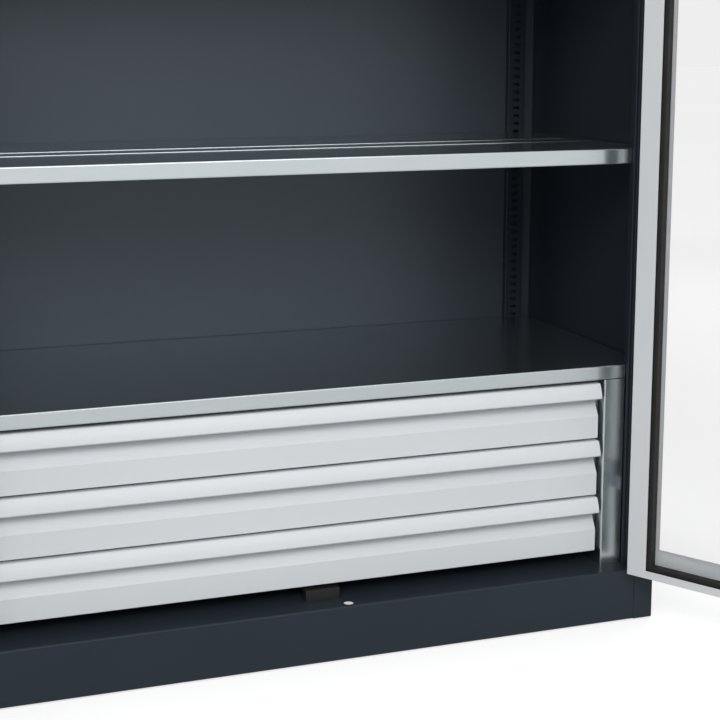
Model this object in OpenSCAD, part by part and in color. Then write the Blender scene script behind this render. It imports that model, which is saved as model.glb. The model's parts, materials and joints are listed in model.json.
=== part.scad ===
// Heavy-duty storage cabinet with glazed wing doors, shelves and three drawers.
// Frame: X to the right, Y into the cabinet, Z up, in millimetres. The origin is on the
// floor, in the middle of the carcass front. The doors are drawn standing open.

/* [Carcass] */
// Width over the side panels
cabinet_w = 1200; // [1000:10:1400]
// Depth over the side panels
cabinet_d = 500; // [450:10:600]
// Height over the roof
cabinet_h = 1950; // [1700:10:2100]
// Height of the plinth, up to the top of the floor panel
plinth_h = 91.5; // [70:0.5:120]
// Gap under the carcass sheets, taken up by the feet
foot_gap = 2; // [1:0.5:5]
// Thickness of the carcass sheet
sheet_t = 1.2; // [0.8:0.1:1.6]
// Outer radius of the folds in the carcass sheet
fold_r = 2.5; // [1.8:0.1:4]
// Width of each front post
post_w = 37; // [30:1:50]
// Depth of the rebate that takes the doors
rebate_d = 29; // [27:0.5:31]
// Reach of the rebate lip beyond the post
lip_w = 7; // [4:0.5:10]
// Depth of the hem behind the rebate lip
hem_d = 6; // [3:0.5:6.5]
// Height of the roof's front band
roof_band_h = 39; // [30:1:60]

/* [Slotted rails] */
// Width of a slotted rail
rail_w = 35; // [30:1:40]
// Depth of a slotted rail
rail_d = 12.4; // [10:0.2:14]
// Gap from the side wall to a rear rail
rail_gap = 24; // [18:1:30]
// Gap from the side wall to a front rail
front_rail_gap = 5; // [3:0.5:6.5]
// Height step between two slots
slot_pitch = 15; // [12:1:30]
// Width of a slot
slot_w = 12; // [8:0.5:14]
// Height of a slot
slot_h = 6.4; // [5:0.2:8]
// Height of the first slot's middle above the floor panel
slot_start = 12.5; // [8:0.5:20]

/* [Shelves] */
// Number of shelves on hooks
shelf_count = 3; // [1:1:3]
// Slot, counted from 0, that carries the lowest shelf
shelf_first_slot = 45; // [38:1:50]
// Slots from one shelf to the next
shelf_step = 25; // [18:1:26]
// Height of a shelf's edge
shelf_h = 26.2; // [20:0.2:40]
// Thickness of the shelf sheet
shelf_t = 1.5; // [1:0.1:2]
// Distance of the shelf front behind the carcass front
shelf_setback = 36; // [35.6:0.1:38]
// Distance of the first stiffening rib behind the shelf front
rib_start = 179; // [120:1:220]
// Distance between the two stiffening ribs
rib_gap = 73; // [40:1:100]
// Radius of a stiffening rib
rib_r = 2.3; // [1.9:0.1:3]
// Distance of a rib's end from the end of the shelf
rib_end = 45; // [20:1:80]
// Reach of a shelf hook out of its rail
hook_reach = 23; // [16:1:30]

/* [Drawers] */
// Height step between two drawers
drawer_pitch = 100; // [98:1:102]
// Width of a drawer front
drawer_w = 1020; // [800:5:1022]
// Height of a drawer front
drawer_front_h = 96; // [94:0.5:97]
// Height of the lowest front above the floor panel
drawer_start = 25; // [20:1:27]
// Distance of the flat of a drawer front behind the carcass front
drawer_setback = 44; // [43:0.5:46]
// Thickness of the front's sheet
front_t = 1.5; // [1:0.1:2]
// Depth of a drawer front behind its flat
front_d = 20; // [18:0.5:24]
// Height of the flat lower part of a drawer front
front_flat_h = 38; // [30:1:45]
// Height of the grip's lower edge
grip_start = 70; // [66:0.5:74]
// Radius of the grip's bulge
grip_r = 61.8; // [55:0.2:80]
// Reach of the grip in front of the flat
grip_reach = 13.4; // [10:0.2:14]
// Radius of the grip's upper edge
grip_top_r = 4; // [2:0.5:6]
// Radius of the grip's lower edge
grip_lip_r = 2.5; // [1.8:0.1:3]
// Width of the fold under a drawer front
front_return_w = 11; // [6:0.5:14]
// Height of the fold behind the upper edge of a drawer front
front_hem_h = 6; // [3:0.5:10]
// Length of closed wall at each end of the openings behind a drawer front
front_end_w = 18; // [8:1:40]
// Height of a drawer's tray
tray_h = 72; // [50:1:80]
// Height of the tray above the lower edge of its front
tray_start = 10; // [4:1:14]
// Length of the tray
tray_d = 400; // [300:5:405]
// Thickness of the tray sheet
tray_t = 1.2; // [0.8:0.1:1.6]
// Height of the slides' middle above the lower edge of the front
slide_mid = 46; // [34:1:56]
// Height of a telescopic slide
slide_h = 45; // [35:1:50]
// Thickness of a telescopic slide
slide_w = 12.7; // [12:0.1:16]
// Length of a telescopic slide
slide_l = 400; // [300:5:400]
// Thickness of the slide's steel
slide_t = 1.2; // [1:0.1:1.4]
// Running gap between two members of a slide
slide_gap = 0.3; // [0.2:0.05:0.5]
// Height of the shelf that covers the drawers
cover_h = 24.5; // [20:0.5:40]
// Gap between the top drawer and that shelf
cover_gap = 6; // [4:0.5:10]
// Depth of the drawer frames
frame_d = 434; // [420:1:440]
// Width of the drawer frames' front flange
frame_flange_w = 38; // [20:0.5:38]
// Thickness of the drawer frames
frame_t = 1.5; // [1:0.1:2]

/* [Doors] */
// Angle at which the doors stand open
door_open = 121.5; // [90:0.5:125]
// Thickness of a door
door_t = 25; // [22:0.5:26]
// Gap between a door and its post
door_gap = 3.5; // [3.5:0.1:5]
// Gap under and over a door
door_end_gap = 2.5; // [2:0.5:5]
// Gap between the two doors
door_middle_gap = 3; // [2:0.5:5]
// Thickness of the door sheet
door_sheet_t = 1.2; // [0.8:0.1:1.6]
// Width of the inner flange at the upright edges of a door
door_flange_w = 34; // [20:1:36]
// Width of the inner flange at the top and the bottom of a door
door_flange_h = 13; // [8:1:14]
// Border of the window at the hinges, the top and the bottom
window_border = 46; // [40:1:80]
// Border of the window at the lock
lock_border = 108; // [104:1:140]
// Overlap of the pane on the window border
pane_lap = 13; // [8:0.5:14]
// Thickness of the pane
pane_t = 4; // [3:0.5:6]
// Width of the window seal
seal_w = 10; // [6:0.5:12]
// Height of the window seal
seal_h = 14.8; // [8:0.2:16]
// Reach of the window seal beyond the edge of the pane
seal_over = 2; // [0:0.5:2]
// Width of the lap strip on the left door
lap_w = 45; // [30:1:48]
// Reach of the lap strip behind the right door
lap_reach = 14; // [8:1:20]
// Thickness of the lap strip
lap_t = 1.5; // [1:0.1:1.6]

/* [Hinges] */
// Hinges on each door
hinge_count = 3; // [2:1:4]
// Height of the lowest hinge's middle above the lower edge of the door
hinge_start = 146; // [100:1:250]
// Height of one hinge
hinge_h = 47; // [40:1:80]
// Radius of the hinge barrel
barrel_r = 5; // [4.5:0.1:6]
// Radius of the hinge pin
pin_r = 3; // [2:0.1:3.2]
// Clearance of the hinge pin
pin_clear = 0.05; // [0.02:0.01:0.1]
// Thickness of a hinge leaf
leaf_t = 1.5; // [1:0.1:1.6]
// Length of a hinge leaf along the door's edge
leaf_l = 20; // [12:0.5:22]

/* [Lock] */
// Height of the handle above the floor
handle_z = 1020; // [900:5:1100]
// Distance of the lock rods from the middle of the cabinet
rod_x = 51.5; // [50:0.5:54]
// Distance of the lock rods behind the carcass front
rod_y = 15; // [14.6:0.1:15.4]
// Radius of a lock rod
rod_r = 5; // [4:0.1:5]
// Travel of a lock rod
rod_travel = 20; // [16:0.5:22]
// Radius of the holes that take the lock rods
rod_hole_r = 8; // [6:0.5:9]
// Clearance of a lock rod in its guides
rod_clear = 0.08; // [0.04:0.01:0.3]
// Radius of the cam's pins
cam_pin_r = 3; // [2.5:0.1:3.2]
// Clearance of a cam pin in its slot
cam_clear = 0.7; // [0.6:0.05:0.9]
// Length of the handle's lever
lever_l = 84; // [70:1:98]
// Width of the handle's lever
lever_w = 20; // [16:1:24]
// Radius of the handle's hub
hub_r = 17; // [15:0.5:20]
// Radius of the lock plug in the handle
plug_r = 7; // [5:0.5:9]

/* [Fittings] */
// Width of the door stop
stop_w = 57; // [30:1:80]
// Height of the door stop
stop_h = 18.5; // [10:0.5:22]
// Depth of the door stop
stop_d = 22; // [10:1:30]
// Distance of the door stop behind the carcass front
stop_y = 38; // [37:0.5:45]
// Sideways place of the door stop's middle
stop_x = 15.5; // [0:0.5:30]
// Radius of a foot
foot_r = 11; // [8:0.5:13]
// Radius of a foot's stud
stud_r = 4; // [3:0.5:5]
// Thickness of the plates that hold the feet
foot_plate_t = 3; // [2:0.5:5]

/* [Hidden] */
$fn = 48;
mates = 0.2;
bore_over = 1;
half_w = cabinet_w / 2;
wall_x = half_w - sheet_t;
post_x = half_w - post_w;
lip_x = post_x - lip_w;
back_y = cabinet_d - 2 * sheet_t;
roof_z = cabinet_h - sheet_t;
band_z = cabinet_h - roof_band_h;
back_flange_w = 20;
plinth_return = 25;
floor_fold_y = 20;

// Slotted rails
rail_x1 = wall_x - rail_gap;
rail_x0 = rail_x1 - rail_w;
front_rail_move = rail_gap - front_rail_gap;
rail_mid = (rail_x0 + rail_x1) / 2;
rear_rail_y = back_y - mates - rail_d;
front_rail_y = rebate_d + hem_d + sheet_t + rail_d;
rail_top = roof_z - 2;
slot_count = floor((rail_top - plinth_h - slot_start - slot_h) / slot_pitch) + 1;

// Shelves: a shelf lies on its hooks, which hang in the slots
hook_t = 2.5;
hook_drop = 6;
hook_play = 0.3;
shelf_play = 1.5;
shelf_side_x = wall_x - shelf_play;
rib_sink = 0.3;
rib_wall = 1.3;
shelf_front_x = lip_x - 1;
shelf_rear_x = rail_x0 - shelf_play;
shelf_y1 = front_rail_y + shelf_play;
shelf_y2 = rear_rail_y - shelf_play;
shelf_back = back_y - 1;
shelf_return = 15;
shelf_side_return = 46;
function shelf_bottom(i) = plinth_h + slot_start + (shelf_first_slot + i * shelf_step) * slot_pitch
    + slot_h / 2 - mates;

// Drawers
drawer_count = 3;
drawer_half = drawer_w / 2;
frame_x = drawer_half + 6.3;
tray_x = frame_x - slide_w;
tray_y = drawer_setback + front_d;
slide_y = tray_y;
frame_y = shelf_setback;
cover_z = plinth_h + drawer_start + drawer_pitch * (drawer_count - 1) + drawer_front_h + cover_gap;
function drawer_z(i) = plinth_h + drawer_start + drawer_pitch * i;
front_slope = 30;
grip_c = [grip_r - grip_reach, grip_start - 5.7];

// Doors, drawn closed and then swung about the hinge line
door_x0 = door_middle_gap / 2;
door_x1 = post_x - door_gap;
door_z0 = plinth_h + door_end_gap;
door_z1 = band_z - door_end_gap;
axis_x = post_x - door_gap / 2;
axis_y = -barrel_r;
door_edge_r = 2;
window_x0 = door_x0 + lock_border;
window_x1 = door_x1 - window_border;
window_z0 = door_z0 + window_border;
window_z1 = door_z1 - window_border;
pane_y = door_sheet_t;
seal_tuck = pane_lap + seal_over - window_border + door_flange_w;
seal_z0 = door_z0 + door_flange_h - seal_tuck;
seal_z1 = door_z1 - door_flange_h + seal_tuck;
seal_y = pane_y + pane_t;
lap_joggle = 0.5;
lap_end_gap = 6;
hinge_gap = 0.6;
hinge_span = door_z1 - door_z0 - 2 * hinge_start;
function hinge_z(i) = door_z0 + hinge_start + i * hinge_span / (hinge_count - 1);

// Lock: two pins on a cam move the rods, each by a slotted yoke
cam_r = rod_travel / 2 / sin(45);
cam_plate_r = cam_r + cam_pin_r + 4;
cam_y = 6.5;
cam_t = 3;
yoke_t = 3;
yoke_y = rod_y - yoke_t - 0.5;
yoke_wall = 3.5;
slot_x0 = cam_r * cos(45) - cam_pin_r - cam_clear;
slot_x1 = cam_r + cam_pin_r + cam_clear;
yoke_x0 = slot_x0 - yoke_wall;
yoke_x1 = slot_x1 + yoke_wall;
yoke_top = cam_r * sin(45) + cam_pin_r + cam_clear + yoke_wall;
yoke_foot = -(cam_plate_r + 10);
yoke_foot_h = 10;
case_half_h = -yoke_foot + yoke_foot_h + rod_travel + 6;
case_x0 = rod_x - yoke_x1 - 6;
case_x1 = rod_x + yoke_x1 + 6;
case_y1 = 21.2;
case_t = 1.2;
spindle_r = 5;
spindle_hole_r = 7;
escutcheon_t = 6;
escutcheon_w = 44;
escutcheon_h = 116;
hub_l = 8;
lever_t = 12;
plug_clear = 0.08;
plug_depth = 10;
guide_w = 16;
guide_h = 20;
guide_places = [0.14, 0.36];
rod_tip_gap = 3;

steel_blue = [0.2, 0.22, 0.26];
light_grey = [0.8, 0.82, 0.83];
zinc = [0.72, 0.76, 0.78];
black = [0.12, 0.12, 0.12];
clear = [0.9, 0.93, 0.95, 0.4];

// Folded sheet: the path is one face of the sheet, which grows to the path's left
function unit(v) = v / norm(v);
function left_of(v) = [-v.y, v.x];
function turn(a) = ((a + 540) % 360) - 180;
function bend(a, p, b, r) =
    let (u = unit(a - p), v = unit(b - p), half = acos(u * v) / 2)
    let (c = p + unit(u + v) * r / sin(half), s = p + u * r / tan(half) - c, e = p + v * r / tan(half) - c)
    let (a0 = atan2(s.y, s.x), da = turn(atan2(e.y, e.x) - a0))
    [for (i = [0:4]) c + r * [cos(a0 + da * i / 4), sin(a0 + da * i / 4)]];
function bent(path, r) = len(path) < 3 ? path : [
    path[0],
    for (i = [1:len(path) - 2]) each bend(path[i - 1], path[i], path[i + 1], r),
    path[len(path) - 1]
];
function side_normal(p, i) = left_of(unit(p[i + 1] - p[i]));
function mitre(p, i) =
    i == 0 ? side_normal(p, 0)
    : i == len(p) - 1 ? side_normal(p, i - 1)
    : let (m = side_normal(p, i - 1), n = side_normal(p, i)) (m + n) / (1 + m * n);
module sheet(path, t, r) {
    p = bent(path, r);
    far = [for (i = [len(p) - 1:-1:0]) p[i] + t * mitre(p, i)];
    polygon(concat(p, far));
}

// A profile drawn in (Y, Z), run along X
module along_x(x0, x1) {
    translate([x0, 0, 0]) rotate([90, 0, 90]) linear_extrude(x1 - x0) children();
}
// A profile drawn in (X, Z), run along Y
module along_y(y0, y1) {
    translate([0, y1, 0]) rotate([90, 0, 0]) linear_extrude(y1 - y0) children();
}
// A profile drawn in (X, Y), run along Z
module along_z(z0, z1) {
    translate([0, 0, z0]) linear_extrude(z1 - z0) children();
}
module block(low, high) {
    translate(low) cube(high - low);
}
module both_sides() {
    children();
    mirror([1, 0, 0]) children();
}

// Carcass
module side_panel() {
    path = [
        [half_w - back_flange_w, cabinet_d], [half_w, cabinet_d], [half_w, 0], [post_x, 0],
        [post_x, rebate_d], [lip_x, rebate_d], [lip_x, rebate_d + hem_d]
    ];
    along_z(foot_gap, roof_z) mirror([0, 1]) sheet([for (p = path) [p.x, -p.y]], sheet_t, fold_r);
}
module side_panel_left() {
    color(steel_blue) mirror([1, 0, 0]) side_panel();
}
module side_panel_right() {
    color(steel_blue) side_panel();
}
module back_panel() {
    color(steel_blue)
    block([-wall_x + fold_r, back_y, plinth_h / 2], [wall_x - fold_r, back_y + sheet_t, roof_z - fold_r]);
}
module rod_hole(z) {
    translate([rod_x, rod_y, z - bore_over]) cylinder(r = rod_hole_r, h = sheet_t + 2 * bore_over);
}
module roof_panel() {
    band = [
        [cabinet_d, roof_z - back_flange_w], [cabinet_d, cabinet_h], [0, cabinet_h], [0, band_z],
        [rebate_d, band_z], [rebate_d, band_z - lip_w]
    ];
    color(steel_blue)
    difference() {
        union() {
            along_x(-post_x + mates, post_x - mates) sheet(band, sheet_t, fold_r);
            both_sides() block([post_x - 1, 0, roof_z], [half_w, cabinet_d, cabinet_h]);
        }
        rod_hole(band_z);
        both_sides()
        block([lip_x - mates, rebate_d - fold_r, band_z - lip_w - 1],
            [post_x, rebate_d + hem_d, band_z + sheet_t + fold_r]);
    }
}
module floor_panel() {
    apron = [
        [plinth_return, foot_gap + 12], [plinth_return, foot_gap], [0, foot_gap],
        [0, plinth_h], [floor_fold_y + 1, plinth_h]
    ];
    edge = rebate_d + hem_d + mates;
    plan = [
        [post_x - mates, floor_fold_y], [post_x - mates, rebate_d - fold_r],
        [lip_x - mates, rebate_d - fold_r], [lip_x - mates, edge],
        [wall_x - mates, edge], [wall_x - mates, back_y - mates]
    ];
    color(steel_blue)
    difference() {
        union() {
            along_x(-post_x + mates, post_x - mates)
            mirror([0, 1]) sheet([for (p = apron) [p.x, -p.y]], sheet_t, fold_r);
            along_z(plinth_h - sheet_t, plinth_h)
            polygon(concat(plan, [for (i = [len(plan) - 1:-1:0]) [-plan[i].x, plan[i].y]]));
        }
        rod_hole(plinth_h - sheet_t);
    }
}
// Its folds stop short of the feet, its web runs on to the side panels
module rear_plinth() {
    path = [
        [back_y - plinth_return, foot_gap], [back_y - mates, foot_gap],
        [back_y - mates, plinth_h - sheet_t], [back_y - plinth_return, plinth_h - sheet_t]
    ];
    web_x = wall_x - fold_r;
    notch_y = back_y - mates - sheet_t - fold_r;
    color(steel_blue)
    difference() {
        along_x(-web_x, web_x) sheet(path, sheet_t, fold_r);
        both_sides()
        block([rail_x0, back_y - plinth_return - 1, foot_gap - 1], [web_x + 1, notch_y, plinth_h]);
    }
}
foot_x = post_x + post_w / 2 - 6;
foot_front_y = rebate_d / 2 + 1;
foot_rear_y = back_y - 30;
foot_plate_z = foot_gap + 20;
module at_feet() {
    both_sides() {
        translate([foot_x, foot_front_y, 0]) children();
        translate([foot_x, foot_rear_y, 0]) children();
    }
}
module foot_plates() {
    front_reach = foot_front_y - sheet_t - fold_r;
    color(zinc)
    both_sides()
    difference() {
        union() {
            block([post_x + sheet_t + mates, foot_front_y - front_reach, foot_plate_z],
                [wall_x - mates, foot_front_y + front_reach, foot_plate_z + foot_plate_t]);
            block([post_x - 10, foot_rear_y - 22, foot_plate_z],
                [wall_x - mates, foot_rear_y + 22, foot_plate_z + foot_plate_t]);
        }
        for (y = [foot_front_y, foot_rear_y])
            translate([foot_x, y, foot_plate_z - bore_over])
            cylinder(r = stud_r + pin_clear, h = foot_plate_t + 2 * bore_over);
    }
}
module levelling_feet() {
    color(black)
    at_feet() {
        cylinder(r = foot_r, h = 8);
        cylinder(r = stud_r, h = foot_plate_z + foot_plate_t + 18);
        translate([0, 0, 8]) cylinder(r = stud_r + 3, h = foot_plate_z - 8, $fn = 6);
    }
}

// Slotted rails: the web faces into the cabinet
module rail() {
    path = [[rail_x0, rail_d], [rail_x0, 0], [rail_x1, 0], [rail_x1, rail_d]];
    color(steel_blue)
    difference() {
        along_z(plinth_h, rail_top) sheet(path, sheet_t, 2);
        along_y(-bore_over, sheet_t + bore_over)
        for (i = [0:slot_count - 1])
            translate([rail_mid - slot_w / 2, plinth_h + slot_start + i * slot_pitch - slot_h / 2])
            square([slot_w, slot_h]);
    }
}
module rear_rail() {
    translate([0, rear_rail_y, 0]) rail();
}
module front_rail() {
    translate([front_rail_move, front_rail_y, 0]) mirror([0, 1, 0]) rail();
}
module rail_front_left() {
    mirror([1, 0, 0]) front_rail();
}
module rail_front_right() {
    front_rail();
}
module rail_rear_left() {
    mirror([1, 0, 0]) rear_rail();
}
module rail_rear_right() {
    rear_rail();
}

// Shelves
module shelf_skin(h) {
    front = [
        [shelf_setback + shelf_return, 0], [shelf_setback, 0], [shelf_setback, h], [shelf_y1 + 1, h]
    ];
    top = [[shelf_y1, h], [shelf_y2, h]];
    rear = [[shelf_y2 - 1, h], [shelf_back, h], [shelf_back, shelf_t * 2]];
    side = [[shelf_side_x - shelf_side_return, 0], [shelf_side_x, 0], [shelf_side_x, h], [shelf_side_x - 3, h]];
    along_x(-shelf_front_x, shelf_front_x) mirror([0, 1]) sheet([for (p = front) [p.x, -p.y]], shelf_t, fold_r);
    along_x(-shelf_side_x + fold_r, shelf_side_x - fold_r)
    mirror([0, 1]) sheet([for (p = top) [p.x, -p.y]], shelf_t, fold_r);
    along_x(-shelf_rear_x, shelf_rear_x) mirror([0, 1]) sheet([for (p = rear) [p.x, -p.y]], shelf_t, fold_r);
    both_sides() along_y(shelf_y1, shelf_y2) sheet(side, shelf_t, fold_r);
}
// A rib pressed up out of the shelf, with round ends
module rib(r) {
    x1 = shelf_side_x - rib_end;
    translate([-x1, 0, 0]) rotate([0, 90, 0]) cylinder(r = r, h = 2 * x1);
    for (x = [-x1, x1])
        translate([x, 0, 0]) sphere(r = r);
}
module at_ribs(h) {
    for (y = [0, rib_gap])
        translate([0, shelf_setback + rib_start + y, h - rib_sink]) children();
}
module ribbed_shelf(h) {
    inner_r = rib_r - rib_wall;
    inner_x = shelf_side_x - rib_end;
    color(zinc)
    difference() {
        union() {
            shelf_skin(h);
            at_ribs(h)
            intersection() {
                rib(rib_r);
                block([-shelf_side_x, -rib_r, rib_sink - shelf_t], [shelf_side_x, rib_r, rib_r]);
            }
        }
        at_ribs(h) {
            rib(inner_r);
            block([-inner_x, -inner_r, rib_sink - shelf_t - 1], [inner_x, inner_r, 0]);
        }
    }
}
module shelf(i) {
    translate([0, 0, shelf_bottom(i)]) ribbed_shelf(shelf_h);
}
module shelf_lower() {
    shelf(0);
}
module shelf_middle() {
    shelf(1);
}
module shelf_upper() {
    shelf(2);
}
module cover_shelf() {
    color(zinc) translate([0, 0, cover_z]) shelf_skin(cover_h);
}
// A hook: a tongue under the shelf that passes through a slot and drops behind the web
module hook() {
    w = slot_w - 2 * hook_play;
    path = [
        [-hook_reach, 0], [sheet_t + hook_play + hook_t, 0], [sheet_t + hook_play + hook_t, -slot_h - hook_drop]
    ];
    translate([rail_mid, 0, 0])
    along_x(-w / 2, w / 2) mirror([0, 1]) sheet([for (p = path) [p.x, -p.y]], hook_t, hook_t + 0.4);
}
module shelf_hooks() {
    color(zinc)
    for (i = [0:shelf_count - 1])
        both_sides()
        translate([0, 0, shelf_bottom(i)]) {
            translate([0, rear_rail_y, 0]) hook();
            translate([front_rail_move, front_rail_y, 0]) mirror([0, 1, 0]) hook();
        }
}

// Drawer frames and telescopic slides
module drawer_frame() {
    path = [
        [frame_x + frame_flange_w, frame_y + frame_d], [frame_x, frame_y + frame_d],
        [frame_x, frame_y], [frame_x + frame_flange_w, frame_y]
    ];
    color(zinc) along_z(plinth_h, cover_z) sheet(path, frame_t, fold_r);
}
module drawer_frame_left() {
    mirror([1, 0, 0]) drawer_frame();
}
module drawer_frame_right() {
    drawer_frame();
}
// One C-shaped slide member, its web at x and its open side towards the drawer
module slide_member(x, depth, half_h, y0) {
    path = [[x - depth, -half_h], [x, -half_h], [x, half_h], [x - depth, half_h]];
    along_y(y0, y0 + slide_l) sheet(path, slide_t, slide_t + 0.3);
}
module at_drawer_slides(i) {
    both_sides() translate([0, 0, drawer_z(i) + slide_mid]) children();
}
middle_x = frame_x - slide_t - 2 * slide_gap;
middle_half_h = slide_h / 2 - slide_t - slide_gap;
inner_half_h = middle_half_h - slide_t - slide_gap;
inner_tip_x = middle_x - slide_t - 2 * slide_gap;
module slide_outers() {
    color(zinc)
    for (i = [0:drawer_count - 1])
        at_drawer_slides(i) slide_member(frame_x, slide_w - 2.7, slide_h / 2, slide_y);
}
module slide_middles(i) {
    color(zinc) at_drawer_slides(i) slide_member(middle_x, slide_w - 4.5, middle_half_h, slide_y);
}
module slide_inners(i) {
    depth = inner_tip_x - tray_x;
    path = [
        [tray_x + depth, inner_half_h], [tray_x, inner_half_h], [tray_x, -inner_half_h], [tray_x + depth, -inner_half_h]
    ];
    color(zinc)
    at_drawer_slides(i) along_y(slide_y, slide_y + slide_l) sheet(path, slide_t, slide_t + 0.3);
}

// Drawer fronts: a hollow section with a flat, a slope and a bulging grip above it
module grip_section(inset) {
    top_c = [grip_c.x - sqrt(pow(grip_r - grip_top_r, 2) - pow(drawer_front_h - grip_top_r - grip_c.y, 2)),
        drawer_front_h - grip_top_r];
    lip_c = [grip_c.x - sqrt(pow(grip_r - grip_lip_r, 2) - pow(grip_start + grip_lip_r - grip_c.y, 2)),
        grip_start + grip_lip_r];
    top_touch = grip_c + unit(top_c - grip_c) * grip_r;
    lip_touch = grip_c + unit(lip_c - grip_c) * grip_r;
    back = front_d - inset;
    intersection() {
        translate(grip_c) circle(r = grip_r - inset, $fn = 180);
        translate([-grip_reach - 1, lip_touch.y]) square([back + grip_reach + 1, top_touch.y - lip_touch.y]);
    }
    translate(top_c) circle(r = grip_top_r - inset);
    translate(lip_c) circle(r = grip_lip_r - inset);
    translate([top_c.x, top_touch.y - 2]) square([back - top_c.x, drawer_front_h - inset - top_touch.y + 2]);
    translate([lip_c.x, grip_start + inset]) square([back - lip_c.x, lip_touch.y - grip_start - inset + 2]);
}
module front_lower_section(inset) {
    slope_start = front_flat_h - inset * tan(front_slope / 2);
    reach = front_d - 2 * inset;
    polygon([
        [inset, inset], [inset, slope_start], [front_d - inset, slope_start + reach / tan(front_slope)],
        [front_d - inset, inset]
    ]);
}
// The section is closed at its ends, and open under the flat and behind the grip
module drawer_front(i) {
    cavity_x = drawer_half - front_t;
    open_x = drawer_half - front_end_w;
    color(light_grey)
    translate([0, drawer_setback, drawer_z(i)])
    difference() {
        union() {
            along_x(-drawer_half, drawer_half) grip_section(0);
            along_x(-drawer_half, drawer_half)
            intersection() {
                front_lower_section(0);
                square([front_d, grip_start + front_t / 2]);
            }
        }
        along_x(-cavity_x, cavity_x) grip_section(front_t);
        along_x(-cavity_x, cavity_x) front_lower_section(front_t);
        block([-open_x, front_return_w, -1], [open_x, front_d - front_t, front_t + 1]);
        block([-open_x, front_d - front_t - 1, tray_start + tray_h + front_t],
            [open_x, front_d + 1, drawer_front_h - front_hem_h]);
    }
}
module drawer_tray(i) {
    z = drawer_z(i) + tray_start;
    color(light_grey)
    difference() {
        block([-tray_x, tray_y, z], [tray_x, tray_y + tray_d, z + tray_h]);
        block([-tray_x + tray_t, tray_y + tray_t, z + tray_t],
            [tray_x - tray_t, tray_y + tray_d - tray_t, z + tray_h + 1]);
    }
}
module drawer_front_bottom() {
    drawer_front(0);
}
module drawer_tray_bottom() {
    drawer_tray(0);
}
module slide_inners_bottom() {
    slide_inners(0);
}
module slide_middles_bottom() {
    slide_middles(0);
}
module drawer_front_middle() {
    drawer_front(1);
}
module drawer_tray_middle() {
    drawer_tray(1);
}
module slide_inners_middle() {
    slide_inners(1);
}
module slide_middles_middle() {
    slide_middles(1);
}
module drawer_front_top() {
    drawer_front(2);
}
module drawer_tray_top() {
    drawer_tray(2);
}
module slide_inners_top() {
    slide_inners(2);
}
module slide_middles_top() {
    slide_middles(2);
}
module door_stop() {
    color(black)
    block([stop_x - stop_w / 2, stop_y, plinth_h], [stop_x + stop_w / 2, stop_y + stop_d, plinth_h + stop_h]);
}

// Hinges: the lower half of each sits on the post, the upper half on the door
module swung() {
    translate([axis_x, axis_y, 0]) rotate([0, 0, door_open]) translate([-axis_x, -axis_y, 0]) children();
}
module hinge_half(leaf_x, z0, z1) {
    difference() {
        union() {
            translate([axis_x, axis_y, z0]) cylinder(r = barrel_r, h = z1 - z0);
            block([leaf_x, axis_y, z0], [leaf_x + leaf_t, leaf_l, z1]);
        }
        translate([axis_x, axis_y, z0 - bore_over]) cylinder(r = pin_r + pin_clear, h = z1 - z0 + 2 * bore_over);
    }
}
module post_hinge_halves() {
    color(zinc)
    both_sides()
    for (i = [0:hinge_count - 1])
        hinge_half(post_x - leaf_t, hinge_z(i) - hinge_h / 2, hinge_z(i) - hinge_gap / 2);
}
module door_hinge_halves() {
    color(zinc)
    swung()
    for (i = [0:hinge_count - 1])
        hinge_half(door_x1, hinge_z(i) + hinge_gap / 2, hinge_z(i) + hinge_h / 2);
}
module hinge_pins() {
    color(zinc)
    both_sides()
    for (i = [0:hinge_count - 1])
        translate([axis_x, axis_y, hinge_z(i) - hinge_h / 2]) cylinder(r = pin_r, h = hinge_h);
}
module left_hinge_halves() {
    mirror([1, 0, 0]) door_hinge_halves();
}
module right_hinge_halves() {
    door_hinge_halves();
}

// Doors: a sheet pan with a window, its edges folded back and in again
module door_outline() {
    r = door_edge_r;
    translate([door_x0, r]) square([door_x1 - door_x0, door_t - r]);
    translate([door_x0 + r, 0]) square([door_x1 - door_x0 - 2 * r, door_t]);
    for (x = [door_x0 + r, door_x1 - r])
        translate([x, r]) circle(r = r);
}
module door_pan() {
    t = door_sheet_t;
    difference() {
        along_z(door_z0, door_z1) door_outline();
        block([door_x0 + t, t, door_z0 + t], [door_x1 - t, door_t - t, door_z1 - t]);
        block([door_x0 + door_flange_w, t, door_z0 + door_flange_h],
            [door_x1 - door_flange_w, door_t + 1, door_z1 - door_flange_h]);
        block([window_x0, -1, window_z0], [window_x1, t + 1, window_z1]);
    }
}
module door_pane() {
    color(clear)
    swung()
    block([window_x0 - pane_lap, pane_y, seal_z0 + seal_over], [window_x1 + pane_lap, seal_y, seal_z1 - seal_over]);
}
module window_seal() {
    over = pane_lap + seal_over;
    inner = over - seal_w;
    color(black)
    swung()
    difference() {
        block([window_x0 - over, seal_y, seal_z0], [window_x1 + over, seal_y + seal_h, seal_z1]);
        block([window_x0 - inner, seal_y - 1, seal_z0 + seal_w],
            [window_x1 + inner, seal_y + seal_h + 1, seal_z1 - seal_w]);
    }
}
module left_door_panel() {
    color(light_grey) mirror([1, 0, 0]) swung() door_pan();
}
module left_door_pane() {
    mirror([1, 0, 0]) door_pane();
}
module left_window_seal() {
    mirror([1, 0, 0]) window_seal();
}
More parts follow.
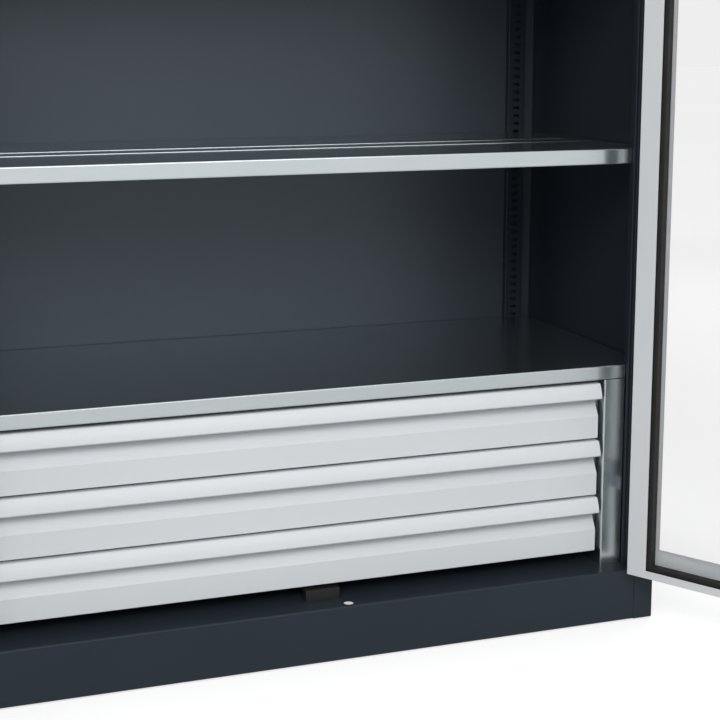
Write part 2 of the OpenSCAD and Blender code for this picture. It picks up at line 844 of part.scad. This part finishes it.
// The lap strip is fixed on the left door's inner flange and reaches behind the right door
module lap_strip() {
    x0 = lap_reach - lap_w;
    y0 = door_t;
    plan = [
        [x0, y0], [-2, y0], [0, y0 + lap_joggle], [lap_reach, y0 + lap_joggle],
        [lap_reach, y0 + lap_joggle + lap_t], [-0.4, y0 + lap_joggle + lap_t], [-2.4, y0 + lap_t], [x0, y0 + lap_t]
    ];
    color(light_grey)
    mirror([1, 0, 0]) swung() mirror([1, 0, 0])
    along_z(door_z0 + lap_end_gap, door_z1 - lap_end_gap - lip_w) polygon(plan);
}
module right_door_panel() {
    color(light_grey)
    swung()
    difference() {
        door_pan();
        for (z = [door_z0, door_z1 - door_sheet_t])
            translate([rod_x, rod_y, z - bore_over])
            cylinder(r = rod_r + 0.5, h = door_sheet_t + 2 * bore_over);
        translate([rod_x, -bore_over, handle_z])
        rotate([-90, 0, 0]) cylinder(r = spindle_hole_r, h = door_sheet_t + 2 * bore_over);
    }
}
module right_door_pane() {
    door_pane();
}
module right_window_seal() {
    window_seal();
}

// Lock, drawn on the closed right door
module at_lock() {
    swung() translate([rod_x, 0, handle_z]) children();
}
// A round piece about the handle's axis, from y0 to y1
module turned(y0, y1, r) {
    translate([0, y0, 0]) rotate([-90, 0, 0]) cylinder(r = r, h = y1 - y0);
}
module stadium(l, w) {
    square([l - w, w], center = true);
    for (x = [-1, 1])
        translate([x * (l - w) / 2, 0]) circle(d = w);
}
module lock_case() {
    x0 = case_x0 - rod_x;
    x1 = case_x1 - rod_x;
    color(black)
    at_lock()
    difference() {
        block([x0, door_sheet_t, -case_half_h], [x1, case_y1, case_half_h]);
        block([x0 + case_t, door_sheet_t - 1, case_t - case_half_h], [x1 - case_t, case_y1 - case_t, case_half_h - case_t]);
        translate([0, rod_y, -case_half_h - bore_over]) cylinder(r = rod_r + 0.5, h = 2 * (case_half_h + bore_over));
    }
}
module rod_guides() {
    color(black)
    swung()
    for (share = guide_places, z = [door_z0 + share * (door_z1 - door_z0), door_z1 - share * (door_z1 - door_z0)])
        difference() {
            block([rod_x - guide_w / 2, door_sheet_t, z - guide_h / 2],
                [rod_x + guide_w / 2, rod_y + rod_r + 2, z + guide_h / 2]);
            translate([rod_x, rod_y, z - guide_h / 2 - bore_over])
            cylinder(r = rod_r + rod_clear, h = guide_h + 2 * bore_over);
        }
}
module escutcheon() {
    color(black)
    at_lock()
    difference() {
        rotate([0, 90, 0]) along_y(-escutcheon_t, 0) stadium(escutcheon_h, escutcheon_w);
        turned(-escutcheon_t - 1, 1, spindle_r + 1);
    }
}
module handle() {
    front_y = -escutcheon_t - mates - hub_l - lever_t;
    color(black)
    at_lock()
    difference() {
        union() {
            turned(-escutcheon_t - mates - hub_l, -escutcheon_t - mates, hub_r);
            along_y(front_y, front_y + lever_t) {
                stadium(lever_l, lever_w);
                circle(r = hub_r);
            }
        }
        turned(front_y - 1, front_y + plug_depth, plug_r + plug_clear);
        turned(-escutcheon_t - mates - hub_l / 2, 1, spindle_r + pin_clear);
    }
}
module lock_cam() {
    color(zinc)
    at_lock() {
        turned(-escutcheon_t - mates - hub_l / 2, cam_y + cam_t, spindle_r);
        turned(cam_y, cam_y + cam_t, cam_plate_r);
        for (s = [-1, 1])
            translate([s * cam_r * cos(45), 0, s * cam_r * sin(45)])
            turned(cam_y + cam_t - 0.5, yoke_y + yoke_t + 1, cam_pin_r);
    }
}
module lock_plug() {
    front_y = -escutcheon_t - mates - hub_l - lever_t;
    color(zinc)
    at_lock()
    difference() {
        turned(front_y + 0.5, front_y + plug_depth, plug_r);
        block([-0.8, front_y - 1, -3.5], [0.8, front_y + 8, 3.5]);
    }
}
// The lower rod with its yoke, from the cam down to a tip just above the door's edge
module rod(length) {
    slot_h2 = 2 * (cam_pin_r + cam_clear);
    pin_z = cam_r * sin(45);
    difference() {
        union() {
            translate([0, rod_y, -length]) cylinder(r = rod_r, h = length + yoke_foot);
            along_y(yoke_y, yoke_y + yoke_t) {
                translate([-rod_r, yoke_foot - yoke_foot_h]) square([rod_r + yoke_x1, yoke_foot_h]);
                translate([yoke_x0, yoke_foot - yoke_foot_h]) square([yoke_x1 - yoke_x0, yoke_top - yoke_foot + yoke_foot_h]);
            }
        }
        along_y(yoke_y - 1, yoke_y + yoke_t + 1)
        translate([slot_x0, pin_z - slot_h2 / 2]) square([slot_x1 - slot_x0, slot_h2]);
    }
}
module lower_rod() {
    color(zinc) at_lock() rod(handle_z - door_z0 - rod_tip_gap);
}
module upper_rod() {
    color(zinc) at_lock() rotate([0, 180, 0]) rod(door_z1 - rod_tip_gap - handle_z);
}

side_panel_left();
side_panel_right();
back_panel();
roof_panel();
floor_panel();
rear_plinth();
foot_plates();
levelling_feet();
rail_front_left();
rail_front_right();
rail_rear_left();
rail_rear_right();
shelf_lower();
shelf_middle();
shelf_upper();
shelf_hooks();
cover_shelf();
drawer_frame_left();
drawer_frame_right();
slide_outers();
door_stop();
post_hinge_halves();
hinge_pins();
left_door_panel();
left_door_pane();
left_window_seal();
left_hinge_halves();
lap_strip();
right_door_panel();
right_door_pane();
right_window_seal();
right_hinge_halves();
lock_case();
rod_guides();
escutcheon();
handle();
lock_cam();
lock_plug();
upper_rod();
lower_rod();
drawer_front_bottom();
drawer_tray_bottom();
slide_inners_bottom();
slide_middles_bottom();
drawer_front_middle();
drawer_tray_middle();
slide_inners_middle();
slide_middles_middle();
drawer_front_top();
drawer_tray_top();
slide_inners_top();
slide_middles_top();
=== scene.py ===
"""Looks of a heavy-duty storage cabinet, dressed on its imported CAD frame."""
import json
import math

import bmesh
import bpy
from mathutils import Matrix, Vector


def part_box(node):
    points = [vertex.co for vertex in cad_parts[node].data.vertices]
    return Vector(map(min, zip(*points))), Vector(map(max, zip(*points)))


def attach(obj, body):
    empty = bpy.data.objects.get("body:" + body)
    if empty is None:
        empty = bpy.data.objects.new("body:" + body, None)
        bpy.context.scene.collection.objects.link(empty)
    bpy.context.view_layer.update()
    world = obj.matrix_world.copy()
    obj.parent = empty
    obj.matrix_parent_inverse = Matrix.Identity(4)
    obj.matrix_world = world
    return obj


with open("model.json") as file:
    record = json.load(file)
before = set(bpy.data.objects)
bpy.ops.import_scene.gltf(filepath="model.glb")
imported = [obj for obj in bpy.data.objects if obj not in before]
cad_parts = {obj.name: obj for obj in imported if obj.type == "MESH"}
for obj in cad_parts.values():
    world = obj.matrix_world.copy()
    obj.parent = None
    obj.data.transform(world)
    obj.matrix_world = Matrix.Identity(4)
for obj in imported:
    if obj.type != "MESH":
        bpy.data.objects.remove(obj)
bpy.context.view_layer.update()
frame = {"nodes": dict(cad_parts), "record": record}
nodes = frame["nodes"]
scene = bpy.context.scene
scene.view_settings.view_transform = "Standard"


# Camera
def make_camera():
    """A camera near the photograph's place, tilted a little where the photograph's lens is shifted."""
    image_width = 720.0
    focal_pixels = 1468.3
    sensor_width = 36.0
    place = (-0.6791, -2.1116, 0.9904)
    yaw = math.radians(18.505)
    pitch = math.radians(9.477)
    roll = math.radians(-0.171)
    forward = Vector((math.sin(yaw) * math.cos(pitch), math.cos(yaw) * math.cos(pitch), -math.sin(pitch)))
    right = Vector((math.cos(yaw), -math.sin(yaw), 0.0))
    up = right.cross(forward)
    side = right * math.cos(roll) + up * math.sin(roll)
    head = up * math.cos(roll) - right * math.sin(roll)
    data = bpy.data.cameras.new("camera")
    data.sensor_width = sensor_width
    data.lens = focal_pixels / image_width * sensor_width
    data.shift_x = 0.0326
    data.shift_y = -0.108
    data.clip_start = 0.05
    data.clip_end = 60.0
    camera = bpy.data.objects.new("camera", data)
    turn = Matrix((side, head, -forward)).transposed().to_4x4()
    camera.matrix_world = Matrix.Translation(place) @ turn
    scene.collection.objects.link(camera)
    scene.camera = camera


make_camera()


# Materials
grain_depth = 0.0003
soft_edge = 0.0008
sharp_edge = 0.0006


class Shader:
    """A node material with one Principled shader and short ways to add texture nodes."""

    def __init__(self, name, **values):
        self.material = bpy.data.materials.new(name)
        self.material.use_nodes = True
        self.tree = self.material.node_tree
        self.main = self.tree.nodes["Principled BSDF"]
        for key, value in values.items():
            self.main.inputs[key.replace("_", " ")].default_value = value
        self.place = self.tree.nodes.new("ShaderNodeTexCoord").outputs["Object"]

    def add(self, kind, **values):
        node = self.tree.nodes.new(kind)
        for key, value in values.items():
            setattr(node, key, value)
        return node

    def link(self, start, end):
        self.tree.links.new(start, end)

    def noise(self, scale, detail=3.0, stretch=(1.0, 1.0, 1.0)):
        """Return a noise in the object's own coordinates, about 0.3 to 0.7."""
        mapping = self.add("ShaderNodeMapping")
        mapping.inputs["Scale"].default_value = stretch
        self.link(self.place, mapping.inputs["Vector"])
        node = self.add("ShaderNodeTexNoise")
        node.inputs["Scale"].default_value = scale
        node.inputs["Detail"].default_value = detail
        self.link(mapping.outputs["Vector"], node.inputs["Vector"])
        return node.outputs["Fac"]

    def tints(self, noise, colours):
        """Let the colour wander between two tints."""
        ramp = self.add("ShaderNodeValToRGB")
        for stop, position, colour in zip(ramp.color_ramp.elements, (0.35, 0.65), colours):
            stop.position = position
            stop.color = (*colour, 1.0)
        self.link(noise, ramp.inputs["Fac"])
        self.link(ramp.outputs["Color"], self.main.inputs["Base Color"])

    def rough(self, noise, limits):
        """Let the roughness wander between two limits."""
        span = self.add("ShaderNodeMapRange")
        span.inputs["From Min"].default_value = 0.3
        span.inputs["From Max"].default_value = 0.7
        span.inputs["To Min"].default_value = limits[0]
        span.inputs["To Max"].default_value = limits[1]
        self.link(noise, span.inputs["Value"])
        self.link(span.outputs["Result"], self.main.inputs["Roughness"])

    def bump(self, noise, strength, edge):
        """Give the surface a fine grain, and its edges a small rounding."""
        node = self.add("ShaderNodeBump")
        node.inputs["Strength"].default_value = strength
        node.inputs["Distance"].default_value = grain_depth
        self.link(noise, node.inputs["Height"])
        soft = self.add("ShaderNodeBevel", samples=4)
        soft.inputs["Radius"].default_value = edge
        self.link(soft.outputs["Normal"], node.inputs["Normal"])
        self.link(node.outputs["Normal"], self.main.inputs["Normal"])


def powder_coat(name, tints, rough, specular, sheen, grain):
    shader = Shader(name, Specular_IOR_Level=specular, Specular_Tint=(*sheen, 1.0))
    shader.tints(shader.noise(scale=2.2, detail=2.0), tints)
    shader.rough(shader.noise(scale=70.0), rough)
    shader.bump(shader.noise(scale=420.0, detail=2.0), grain, soft_edge)
    return shader.material


def zinc_plate(name, tints, rough, metallic, grain):
    shader = Shader(name, Metallic=metallic)
    shader.tints(shader.noise(scale=3.0, detail=5.0, stretch=(1.0, 1.0, 4.0)), tints)
    shader.rough(shader.noise(scale=5.0, detail=4.0, stretch=(1.0, 1.0, 6.0)), rough)
    shader.bump(shader.noise(scale=160.0, detail=2.0, stretch=(0.12, 1.0, 1.0)), grain, sharp_edge)
    return shader.material


def moulded(name, tints, tint_scale, rough, rough_scale, specular, grain, grain_scale):
    shader = Shader(name, Specular_IOR_Level=specular)
    shader.tints(shader.noise(tint_scale), tints)
    shader.rough(shader.noise(rough_scale), rough)
    shader.bump(shader.noise(grain_scale, detail=1.0), grain, soft_edge)
    return shader.material


def clear_pane(name, tint, alpha, ior, rough):
    shader = Shader(name, Base_Color=(*tint, 1.0), Alpha=alpha, IOR=ior)
    shader.rough(shader.noise(scale=12.0), rough)
    return shader.material


carcass = powder_coat(
    "anthracite_coat",
    tints=[(0.019, 0.025, 0.034), (0.022, 0.028, 0.037)],
    rough=(0.28, 0.31),
    specular=0.2,
    sheen=(0.82, 0.94, 1.0),
    grain=0.06,
)
# The back panel has the same anthracite paint as the carcass. This copy has lighter tints, more gloss and a
# bluer gloss tint, and all of that is painted light: it stands in for the light the back wall catches.
back_coat_painted_light = powder_coat(
    "anthracite_back_painted_light",
    tints=[(0.028, 0.035, 0.045), (0.031, 0.038, 0.048)],
    rough=(0.42, 0.45),
    specular=0.76,
    sheen=(0.78, 0.90, 1.0),
    grain=0.03,
)
grey = powder_coat(
    "light_grey_coat",
    tints=[(0.590, 0.615, 0.635), (0.605, 0.630, 0.650)],
    rough=(0.32, 0.38),
    specular=0.4,
    sheen=(1.0, 1.0, 1.0),
    grain=0.06,
)
zinc = zinc_plate(
    "zinc_plate",
    tints=[(0.500, 0.549, 0.568), (0.529, 0.578, 0.598)],
    rough=(0.20, 0.26),
    metallic=0.975,
    grain=0.02,
)
plastic = moulded(
    "black_plastic",
    tints=[(0.009, 0.009, 0.009), (0.013, 0.013, 0.013)],
    tint_scale=60.0,
    rough=(0.42, 0.56),
    rough_scale=40.0,
    specular=0.4,
    grain=0.25,
    grain_scale=1400.0,
)
rubber = moulded(
    "seal_rubber",
    tints=[(0.011, 0.011, 0.011), (0.016, 0.016, 0.016)],
    tint_scale=50.0,
    rough=(0.55, 0.70),
    rough_scale=30.0,
    specular=0.3,
    grain=0.15,
    grain_scale=900.0,
)
pane = clear_pane("clear_pane", tint=(0.080, 0.084, 0.086), alpha=0.085, ior=1.49, rough=(0.02, 0.05))

slot_materials = {
    "carcass_blue": carcass,
    "light_grey": grey,
    "zinc": zinc,
    "black_plastic": plastic,
    "seal": rubber,
    "pane": pane,
}
# The back panel takes the copy of the anthracite coat with painted light.
node_materials = {"back_panel": back_coat_painted_light}
for part in frame["record"]["subparts"]:
    mesh = nodes[part["node"]].data
    mesh.materials.clear()
    mesh.materials.append(node_materials.get(part["node"], slot_materials[part["material_slot"]]))


# Small fasteners and folded hems
front_screw_r = 0.0042
slide_screw_r = 0.0036
case_screw_r = 0.0038
inner_front_screw_x = 0.14
outer_front_screw_x = 0.40
slide_screw_inset = 0.06
case_screw_inset = 0.009
tray_wall = 0.0012
hem_w = 0.0013
hem_h = 0.009
hinge_place = Vector((0.56125, -0.005, 0.0))
open_angle = math.radians(121.5)
open_turn = Matrix.Rotation(open_angle, 4, "Z")
swing = Matrix.Translation(hinge_place) @ open_turn @ Matrix.Translation(-hinge_place)


def add_screw(bm, place, axis, radius):
    """Add a domed head with a six-sided socket, standing on place and pointing along axis."""
    steps = 24
    height = 0.55 * radius
    socket_r = 0.42 * radius
    socket_depth = 0.34 * radius
    dome = [(1.0, 0.0), (1.0, 0.35), (0.94, 0.62), (0.80, 0.86), (0.62, 0.97)]
    sixth = math.pi / 3.0
    angles = [2.0 * math.pi * k / steps for k in range(steps)]
    socket = [socket_r * math.cos(sixth / 2.0) / math.cos(angle % sixth - sixth / 2.0) for angle in angles]
    rings = [[(radius * out, height * up)] * steps for out, up in dome]
    rings.append([(out, height) for out in socket])
    rings.append([(out, height - socket_depth) for out in socket])
    turn = Matrix.Translation(place) @ Vector(axis).to_track_quat("Z", "Y").to_matrix().to_4x4()
    rows = []
    for ring in rings:
        row = []
        for angle, (out, up) in zip(angles, ring):
            point = Vector((out * math.cos(angle), out * math.sin(angle), up))
            row.append(bm.verts.new(turn @ point))
        rows.append(row)
    for lower, upper in zip(rows, rows[1:]):
        for k in range(steps):
            after = (k + 1) % steps
            bm.faces.new((lower[k], lower[after], upper[after], upper[k]))
    bm.faces.new(rows[-1])
    bm.faces.new(reversed(rows[0]))


def add_hem(bm, corners, inward, top, section):
    """Sweep a hem's section along the inside of a wall's top edge, with mitred corners."""
    rows = []
    for (x, y), (in_x, in_y) in zip(corners, inward):
        rows.append([bm.verts.new((x + in_x * u, y + in_y * u, top + w)) for u, w in section])
    count = len(section)
    for start, end in zip(rows, rows[1:]):
        for k in range(count):
            after = (k + 1) % count
            bm.faces.new((start[k], end[k], end[after], start[after]))
    bm.faces.new(reversed(rows[0]))
    bm.faces.new(rows[-1])


def finish_piece(name, bm, material, body):
    """Turn a mesh in the making into a piece that rides on a body."""
    bmesh.ops.recalc_face_normals(bm, faces=bm.faces)
    mesh = bpy.data.meshes.new(name)
    bm.to_mesh(mesh)
    bm.free()
    mesh.materials.append(material)
    piece = bpy.data.objects.new(name, mesh)
    scene.collection.objects.link(piece)
    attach(piece, body)


def dress_drawer(level):
    """Screws that hold the front and the slides, and the hemmed upper edge of the tray."""
    body = "drawer_" + level
    low, high = (Vector(corner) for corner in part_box("drawer_tray_" + level))
    side_x = high.x - tray_wall
    front_y = low.y + tray_wall
    rear_y = high.y - tray_wall
    mid_y = (low.y + high.y) / 2.0
    mid_z = (low.z + high.z) / 2.0
    screws = bmesh.new()
    for x in (-outer_front_screw_x, -inner_front_screw_x, inner_front_screw_x, outer_front_screw_x):
        add_screw(screws, (x, front_y, mid_z), (0, 1, 0), front_screw_r)
    for side in (-1.0, 1.0):
        for y in (low.y + slide_screw_inset, mid_y, high.y - slide_screw_inset):
            add_screw(screws, (side * side_x, y, mid_z), (-side, 0, 0), slide_screw_r)
    finish_piece("drawer_screws_" + level, screws, zinc, body)
    section = [
        (0.0, -hem_h),
        (0.7 * hem_w, -hem_h),
        (hem_w, 0.3 * hem_w - hem_h),
        (hem_w, -0.6 * hem_w),
        (0.75 * hem_w, -0.15 * hem_w),
        (0.4 * hem_w, 0.0),
        (0.0, 0.0),
    ]
    corners = [(-side_x, front_y), (-side_x, rear_y), (side_x, rear_y), (side_x, front_y)]
    inward = [(1, 0), (1, -1), (-1, -1), (-1, 0)]
    hem = bmesh.new()
    add_hem(hem, corners, inward, high.z, section)
    finish_piece("tray_hem_" + level, hem, grey, body)


def dress_lock():
    """Four screws on the inner face of the lock's case, placed with the door closed, then swung open."""
    closed = swing.inverted()
    case = nodes["lock_case"]
    points = [closed @ (case.matrix_world @ vertex.co) for vertex in case.data.vertices]
    low = [min(point[k] for point in points) for k in range(3)]
    high = [max(point[k] for point in points) for k in range(3)]
    screws = bmesh.new()
    for x in (low[0] + case_screw_inset, high[0] - case_screw_inset):
        for z in (low[2] + case_screw_inset, high[2] - case_screw_inset):
            add_screw(screws, (x, high[1], z), (0, 1, 0), case_screw_r)
    screws.transform(swing)
    finish_piece("lock_case_screws", screws, zinc, "right_door")


for level in ("bottom", "middle", "top"):
    dress_drawer(level)
dress_lock()


# Stage: a pale floor and white surroundings
def ray_kinds(tree, *kinds):
    """Return an output that is 1 for rays of any of the named kinds."""
    path = tree.nodes.new("ShaderNodeLightPath")
    total = path.outputs[kinds[0]]
    for kind in kinds[1:]:
        either = tree.nodes.new("ShaderNodeMath")
        either.operation = "MAXIMUM"
        tree.links.new(total, either.inputs[0])
        tree.links.new(path.outputs[kind], either.inputs[1])
        total = either.outputs[0]
    return total


def glow_by_reach(shader, share, stops, rays):
    """Return a glow that changes with the distance from the object and counts for the given rays alone."""
    fade = shader.add("ShaderNodeValToRGB")
    fade.color_ramp.interpolation = "EASE"
    while len(fade.color_ramp.elements) < len(stops):
        fade.color_ramp.elements.new(0.5)
    for stop, (reach, level) in zip(fade.color_ramp.elements, stops):
        stop.position = reach
        stop.color = (level, level, level, 1.0)
    shader.link(share, fade.inputs["Fac"])
    shown = shader.add("ShaderNodeMath", operation="MULTIPLY")
    shader.link(fade.outputs["Color"], shown.inputs[0])
    shader.link(rays, shown.inputs[1])
    return shown.outputs[0]


def make_floor():
    """A pale floor that keeps the shadow, lifted to the white of the surroundings for rays that show it."""
    half_size = 40.0
    glow_reach = 6.0
    seen_glow = [(0.10, 0.57), (0.33, 0.45), (1.00, 0.67)]
    mirrored_glow = [(0.10, 0.27), (0.40, 0.23), (1.00, 0.67)]
    corners = [(x * half_size, y * half_size, 0.0) for x, y in ((-1, -1), (1, -1), (1, 1), (-1, 1))]
    mesh = bpy.data.meshes.new("floor")
    mesh.from_pydata(corners, [], [(0, 1, 2, 3)])
    floor = bpy.data.objects.new("floor", mesh)
    scene.collection.objects.link(floor)
    shader = Shader("floor", Specular_IOR_Level=0.1, Roughness=0.8)
    shader.tints(shader.noise(scale=0.6), [(0.54, 0.54, 0.54), (0.56, 0.56, 0.56)])
    far = shader.add("ShaderNodeVectorMath", operation="LENGTH")
    share = shader.add("ShaderNodeMath", operation="DIVIDE")
    share.inputs[1].default_value = glow_reach
    shader.link(shader.place, far.inputs[0])
    shader.link(far.outputs["Value"], share.inputs[0])
    seen_rays = ray_kinds(shader.tree, "Is Camera Ray", "Is Transmission Ray")
    mirrored_rays = ray_kinds(shader.tree, "Is Glossy Ray")
    seen = glow_by_reach(shader, share.outputs[0], seen_glow, seen_rays)
    mirrored = glow_by_reach(shader, share.outputs[0], mirrored_glow, mirrored_rays)
    glow = shader.add("ShaderNodeMath", operation="MAXIMUM")
    white = shader.add("ShaderNodeEmission")
    both = shader.add("ShaderNodeAddShader")
    shader.link(seen, glow.inputs[0])
    shader.link(mirrored, glow.inputs[1])
    shader.link(glow.outputs[0], white.inputs["Strength"])
    shader.link(shader.main.outputs[0], both.inputs[0])
    shader.link(white.outputs[0], both.inputs[1])
    shader.link(both.outputs[0], shader.tree.nodes["Material Output"].inputs["Surface"])
    mesh.materials.append(shader.material)


def make_world():
    """White surroundings for rays that show them, and a dimmer white that lights the object."""
    seen_strength = 1.0
    lit_strength = 0.55
    world = bpy.data.worlds.new("studio")
    scene.world = world
    world.use_nodes = True
    tree = world.node_tree
    tree.nodes.clear()
    mix = tree.nodes.new("ShaderNodeMixShader")
    for entry, strength in ((1, lit_strength), (2, seen_strength)):
        white = tree.nodes.new("ShaderNodeBackground")
        white.inputs["Color"].default_value = (1.0, 1.0, 1.0, 1.0)
        white.inputs["Strength"].default_value = strength
        tree.links.new(white.outputs[0], mix.inputs[entry])
    shown = ray_kinds(tree, "Is Camera Ray", "Is Glossy Ray", "Is Transmission Ray")
    tree.links.new(shown, mix.inputs["Fac"])
    out = tree.nodes.new("ShaderNodeOutputWorld")
    tree.links.new(mix.outputs[0], out.inputs["Surface"])


make_floor()
make_world()


# Lights
def area_light(name, place, target, size, power, mirrored=False):
    """A soft lamp that points at target, and shows in gloss only where mirrored is set."""
    data = bpy.data.lights.new(name, "AREA")
    data.shape = "RECTANGLE"
    data.size, data.size_y = size
    data.energy = power
    light = bpy.data.objects.new(name, data)
    light.location = place
    light.rotation_euler = (Vector(target) - Vector(place)).to_track_quat("-Z", "Y").to_euler()
    light.visible_glossy = mirrored
    scene.collection.objects.link(light)


area_light(
    "front",
    place=(0.0, -5.6, 3.6),
    target=(-0.1, 0.2, 0.8),
    size=(4.8, 2.6),
    power=110.0,
    mirrored=True,
)
area_light(
    "key",
    place=(-2.4, -5.0, 4.3),
    target=(0.0, 0.0, 0.4),
    size=(4.4, 2.7),
    power=192.0,
)
area_light(
    "top",
    place=(0.0, -1.0, 3.7),
    target=(0.0, 0.1, 1.0),
    size=(2.6, 1.6),
    power=12.0,
)
for name, side in (("rear_right", 1.0), ("rear_left", -1.0)):
    area_light(
        name,
        place=(side * 2.6, 2.6, 2.6),
        target=(side * 0.5, 0.1, 1.0),
        size=(2.0, 2.0),
        power=40.0,
    )
